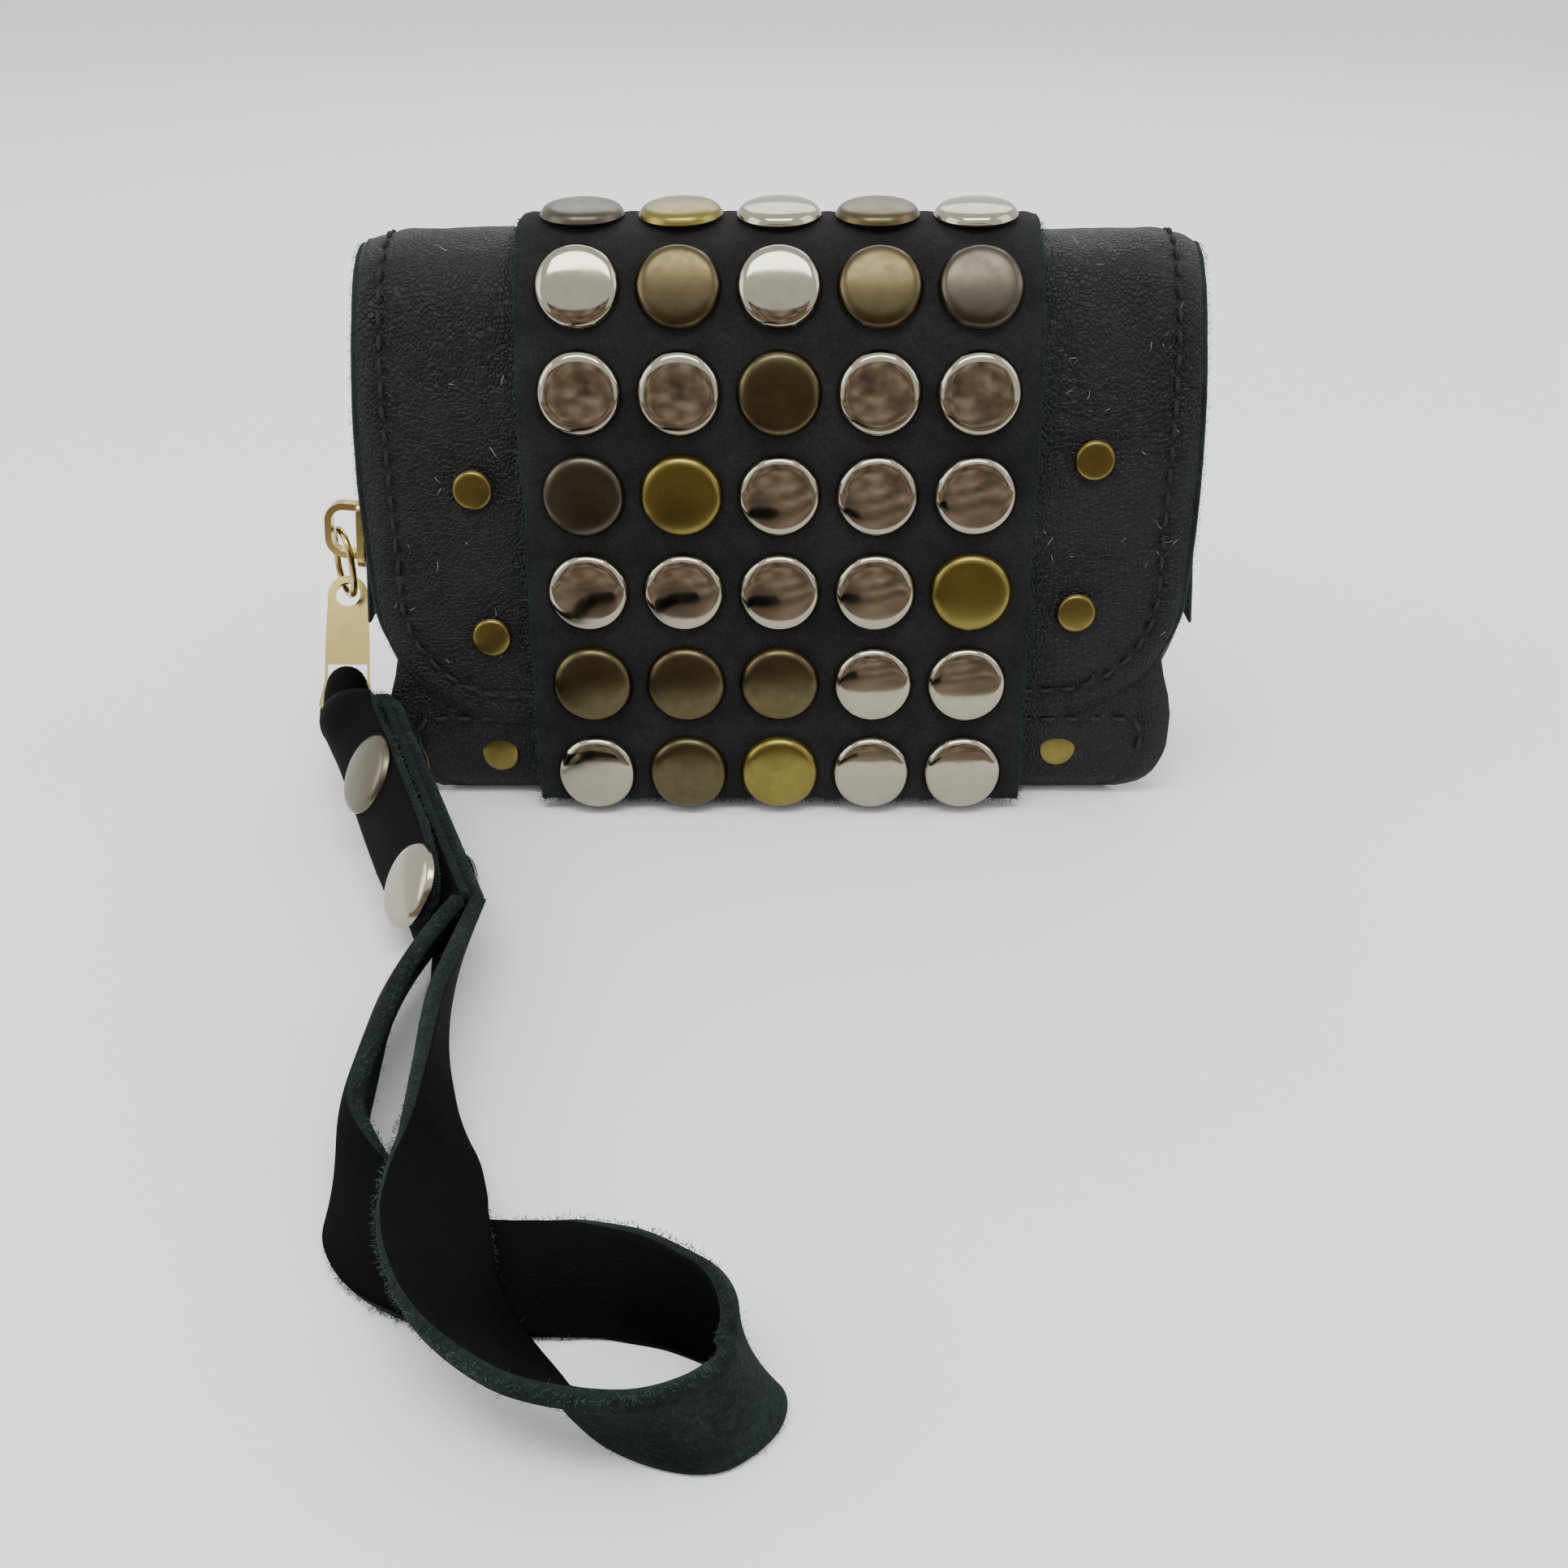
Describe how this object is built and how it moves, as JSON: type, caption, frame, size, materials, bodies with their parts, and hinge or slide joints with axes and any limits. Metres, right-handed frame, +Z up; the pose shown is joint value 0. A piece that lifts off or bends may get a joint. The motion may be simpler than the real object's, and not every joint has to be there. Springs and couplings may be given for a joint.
{
  "type": "studded flap wallet",
  "caption": "Small leather wallet with a domed-stud band over its flap, a zip pouch inside and a short wrist strap on the zip pull.",
  "frame": {"origin": "middle of the flat base, on the surface that the wallet stands on", "axes": "+X across the wallet to the right seen from the front, +Y towards its back, +Z up"},
  "size_m": [0.1426, 0.1639, 0.0903],
  "materials": {
    "grained_leather": "pebbled, matt",
    "smooth_leather": "smooth, matt",
    "nubuck": "fine nap, matt",
    "strap_leather": "napped split leather",
    "lining": "woven",
    "zip_tape": "woven",
    "gold_metal": "polished",
    "nickel": "polished",
    "old_brass": "satin",
    "antique_brass": "satin",
    "antique_grey": "satin"
  },
  "bodies": {
    "root": {"outer_leather": "grained_leather", "card_panel_1": "smooth_leather", "card_panel_2": "smooth_leather", "card_panel_3": "smooth_leather", "pouch_front": "smooth_leather", "pouch_back": "smooth_leather", "coin_divider": "lining", "zip_tape_front": "zip_tape", "zip_tape_back": "zip_tape", "zip_teeth_front": "gold_metal", "zip_teeth_back": "gold_metal", "zip_stops": "gold_metal", "snap_studs": "nickel", "cuff_rivets": "old_brass", "cuff_rivet_washers": "old_brass"},
    "flap": {"flap_leather": "grained_leather", "flap_lining": "lining", "band_front": "nubuck", "caps_nickel": "nickel", "caps_brass": "old_brass", "caps_antique_brass": "antique_brass", "caps_antique_grey": "antique_grey", "cap_posts": "nickel", "snap_sockets": "nickel", "flap_rivets": "old_brass", "flap_rivet_washers": "old_brass"},
    "zip_slider": {"zip_slider": "gold_metal", "slider_bail": "gold_metal"},
    "ring": {"pull_ring": "gold_metal"},
    "pull": {"pull_tab": "gold_metal"},
    "strap": {"strap_tab": "strap_leather", "strap_caps": "nickel", "strap_posts": "nickel", "strap_loop": "strap_leather"}
  },
  "joints": [
    {"name": "flap_open", "type": "hinge", "parent": "root", "child": "flap", "pos_m": [0, 0.0174, 0.07405], "axis": [-1, 0, 0], "range_deg": [0, 165]},
    {"name": "zip_slide", "type": "slide", "parent": "root", "child": "zip_slider", "axis": [0.0941, 0, 0.9956], "range_m": [0, 0.008]},
    {"name": "ring_swing", "type": "hinge", "parent": "zip_slider", "child": "ring", "pos_m": [-0.0713, 0.0056, 0.0385], "axis": [-0.5, 0.866, 0], "range_deg": [0, 20]},
    {"name": "pull_swing", "type": "hinge", "parent": "ring", "child": "pull", "pos_m": [-0.0713, 0.0056, 0.0275], "axis": [-0.5, 0.866, 0], "range_deg": [0, 60]},
    {"name": "strap_swing", "type": "hinge", "parent": "pull", "child": "strap", "pos_m": [-0.0706, -0.0039, 0.0156], "axis": [-0.9197, -0.3926, 0], "range_deg": [0, 20]}
  ]
}
